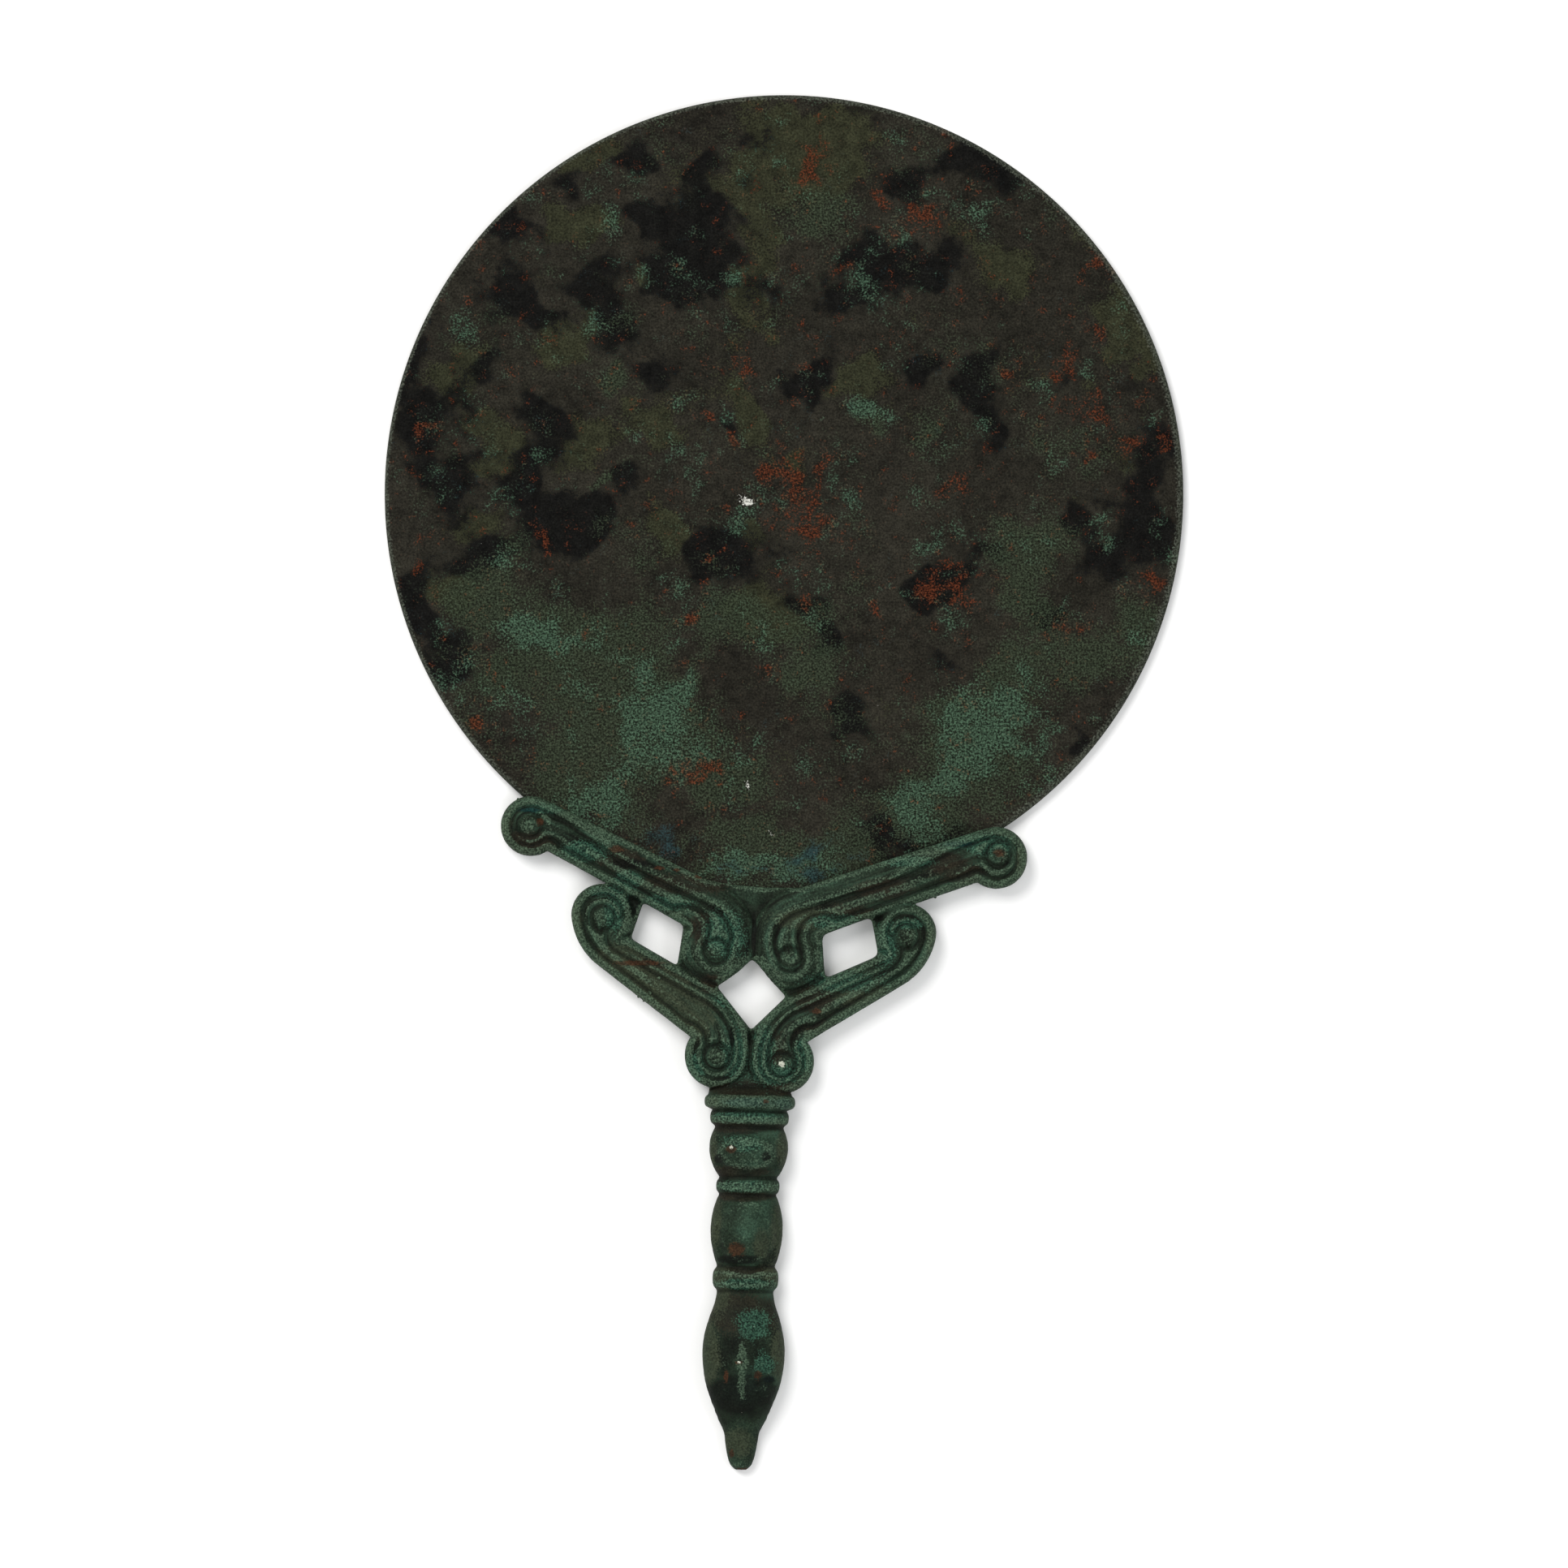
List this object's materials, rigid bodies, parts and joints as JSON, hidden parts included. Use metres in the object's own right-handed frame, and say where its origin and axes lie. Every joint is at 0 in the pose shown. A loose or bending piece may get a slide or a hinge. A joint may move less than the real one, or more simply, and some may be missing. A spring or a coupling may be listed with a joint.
{
  "type": "etruscan hand mirror",
  "caption": "Ancient bronze hand mirror: a plain round disc soldered into a cast handle of scrolls and volutes with a beaded shaft and a worn animal-head end.",
  "frame": {"origin": "centre of the disc's flat back, on the surface the mirror lies on", "axes": "+Y away from the handle, so the shaft runs down to -Y; +X to the right of the face; +Z out of the face"},
  "size_m": [0.16, 0.2754, 0.0093],
  "materials": {
    "disc_bronze": "old bronze under a dark matt patina, black, olive and brown with green, blue and rust-red blooms",
    "handle_bronze": "old cast bronze under a green patina, teal on the ridges, brown and olive in the hollows"
  },
  "bodies": {
    "root": {"disc": "disc_bronze", "handle": "handle_bronze"}
  },
  "joints": []
}
